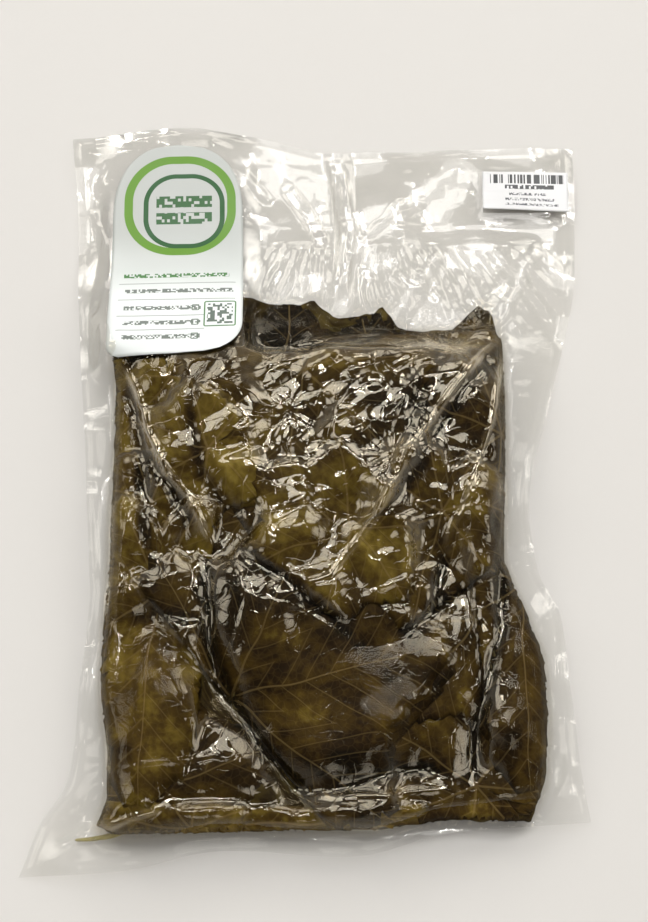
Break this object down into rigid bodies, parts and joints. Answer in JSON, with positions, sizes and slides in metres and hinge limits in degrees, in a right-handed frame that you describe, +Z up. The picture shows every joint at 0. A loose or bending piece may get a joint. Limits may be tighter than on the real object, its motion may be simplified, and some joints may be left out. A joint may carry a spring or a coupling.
{
  "type": "vacuum pack of vine leaves",
  "caption": "Clear vacuum pouch shrunk tight round a flat pile of brined vine leaves, with a front label and a small price label, lying on its back.",
  "frame": {"origin": "middle of the pack's outline seen from above, on the surface that it lies on", "axes": "+X to the right of the shown side, +Y along the pack towards its unfilled end, +Z up from the shown side"},
  "size_m": [0.255, 0.3582, 0.032],
  "materials": {
    "film": "clear glossy nylon and polyethylene vacuum film, creased",
    "leaf": "wet brined vine leaves, olive brown, pressed flat and folded",
    "label": "coated label paper, semi-gloss, with printed fields"
  },
  "bodies": {
    "root": {"vacuum_bag": "film", "front_label": "label", "price_label": "label"}
  },
  "joints": []
}
